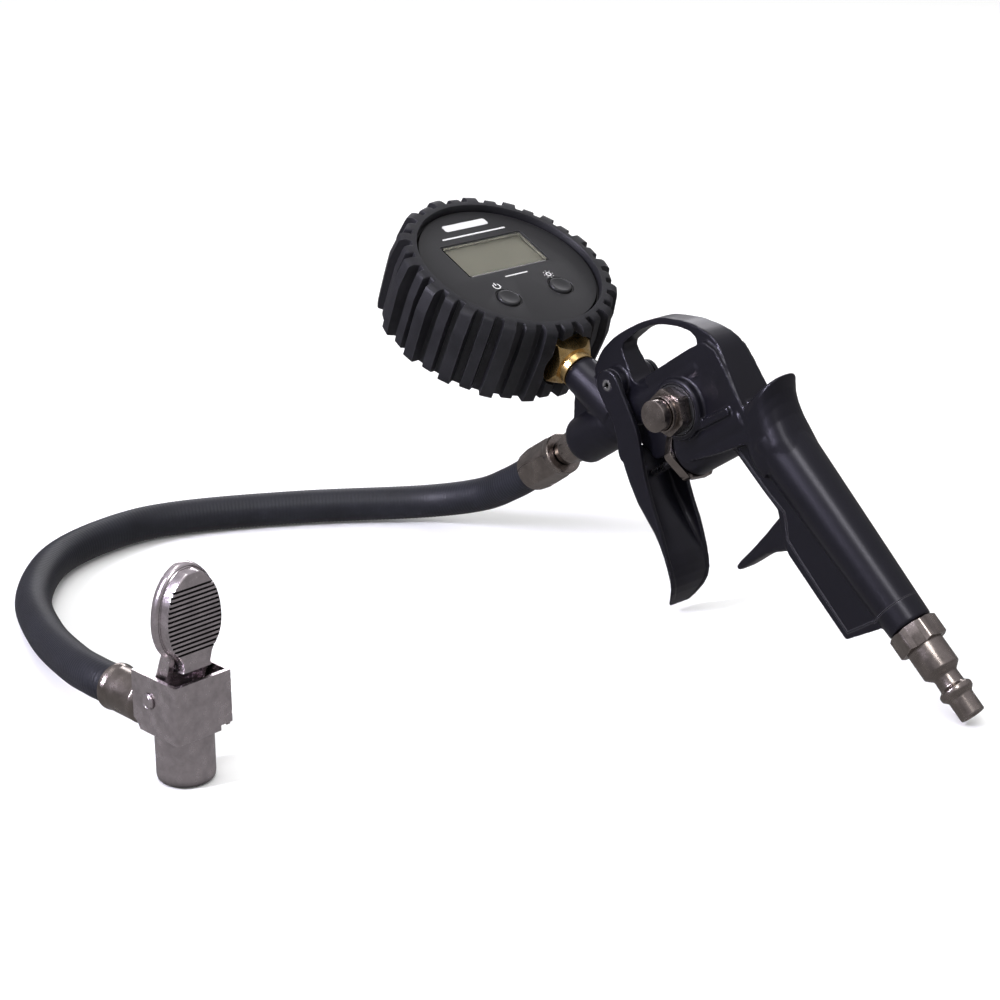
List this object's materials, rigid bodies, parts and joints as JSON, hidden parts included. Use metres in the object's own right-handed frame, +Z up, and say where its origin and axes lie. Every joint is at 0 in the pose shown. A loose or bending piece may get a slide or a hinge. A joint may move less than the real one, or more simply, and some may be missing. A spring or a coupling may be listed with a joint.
{
  "type": "tyre inflator with gauge",
  "caption": "Trigger gun with a digital pressure gauge in a lugged rubber boot, a quick-connect inlet plug, and a short ribbed hose to a clip-on tyre chuck.",
  "frame": {"origin": "middle of the footprint, on the floor that the tool rests on", "axes": "+X the way the gun's barrel points along the floor, +Z up, +Y from the gun to its chuck"},
  "size_m": [0.293, 0.2368, 0.1151],
  "materials": {
    "black_paint": "satin black paint on cast aluminium and sheet",
    "dark_nickel": "dark nickel plating, satin",
    "steel": "plain bright steel",
    "brass": "machined brass",
    "boot_rubber": "moulded black rubber, matt",
    "hose_rubber": "fine-ribbed black rubber",
    "seal_rubber": "black nitrile rubber",
    "button_rubber": "soft black rubber",
    "case_plastic": "moulded black plastic",
    "panel_plastic": "fine-grained dark grey plastic",
    "lens": "clear plastic window",
    "display": "unlit liquid crystal display",
    "board": "green circuit board"
  },
  "bodies": {
    "gun": {"gun_body": "black_paint", "trigger_pin": "steel", "valve_spring": "steel", "bleed_washer": "steel", "bleed_spring": "steel", "inlet_screen": "steel", "pressure_sensor": "steel", "battery": "steel", "cover_screw_1": "steel", "cover_screw_2": "steel", "cover_screw_3": "steel", "chuck_lever_pin": "steel", "chuck_mouth_ring": "steel", "valve_cap_nut": "dark_nickel", "bleed_housing": "dark_nickel", "inlet_plug": "dark_nickel", "hose_nipple": "dark_nickel", "hose_ferrule": "dark_nickel", "chuck_body": "dark_nickel", "chuck_bracket": "dark_nickel", "chuck_nipple": "dark_nickel", "chuck_ferrule": "dark_nickel", "gauge_adapter": "brass", "gauge_boot": "boot_rubber", "hose": "hose_rubber", "stem_seal": "seal_rubber", "gauge_seal": "seal_rubber", "chuck_seal": "seal_rubber", "gauge_case": "case_plastic", "battery_cover": "case_plastic", "gauge_face_panel": "panel_plastic", "lcd_lens": "lens", "lcd_module": "display", "circuit_board": "board"},
    "trigger": {"trigger": "black_paint"},
    "valve": {"valve_stem": "steel", "valve_seal": "seal_rubber"},
    "bleed_plunger": {"bleed_button": "dark_nickel", "bleed_seal": "seal_rubber"},
    "left_key": {"left_gauge_button": "button_rubber"},
    "right_key": {"right_gauge_button": "button_rubber"},
    "chuck_thumb_lever": {"chuck_lever": "dark_nickel"},
    "chuck_sleeve": {"chuck_plunger": "steel", "chuck_core_pin": "steel"}
  },
  "joints": [
    {"name": "trigger_pivot", "type": "hinge", "parent": "gun", "child": "trigger", "pos_m": [-0.00246, -0.07912, 0.0717], "axis": [0, 1, 0], "range_deg": [0, 9], "stiffness_Nm_per_rad": 0.8, "springref_deg": -20.05},
    {"name": "valve_slide", "type": "slide", "parent": "gun", "child": "valve", "axis": [-0.8192, 0, 0.5736], "range_m": [0, 0.005], "deforming": ["valve_spring"]},
    {"name": "bleed_push", "type": "slide", "parent": "gun", "child": "bleed_plunger", "axis": [0, -1, 0], "range_m": [0, 0.002], "stiffness_N_per_m": 400, "springref_m": -0.004, "deforming": ["bleed_spring"]},
    {"name": "left_key_push", "type": "slide", "parent": "gun", "child": "left_key", "axis": [0.4226, 0, -0.9063], "range_m": [0, 0.0006], "stiffness_N_per_m": 500, "springref_m": -0.002},
    {"name": "right_key_push", "type": "slide", "parent": "gun", "child": "right_key", "axis": [0.4226, 0, -0.9063], "range_m": [0, 0.0006], "stiffness_N_per_m": 500, "springref_m": -0.002},
    {"name": "chuck_lever_pivot", "type": "hinge", "parent": "gun", "child": "chuck_thumb_lever", "pos_m": [-0.01606, 0.1074, 0.0253], "axis": [-0.0558, 0.9984, 0], "range_deg": [0, 90]},
    {"name": "chuck_sleeve_slide", "type": "slide", "parent": "gun", "child": "chuck_sleeve", "axis": [0, 0, -1], "range_m": [0, 0.0018], "deforming": ["chuck_seal"]}
  ],
  "couplings": [
    {"joint": "valve_slide", "follows": "trigger_pivot", "m_per_rad": 0.0315},
    {"joint": "chuck_sleeve_slide", "follows": "chuck_lever_pivot", "m_per_rad": 0.001145}
  ]
}
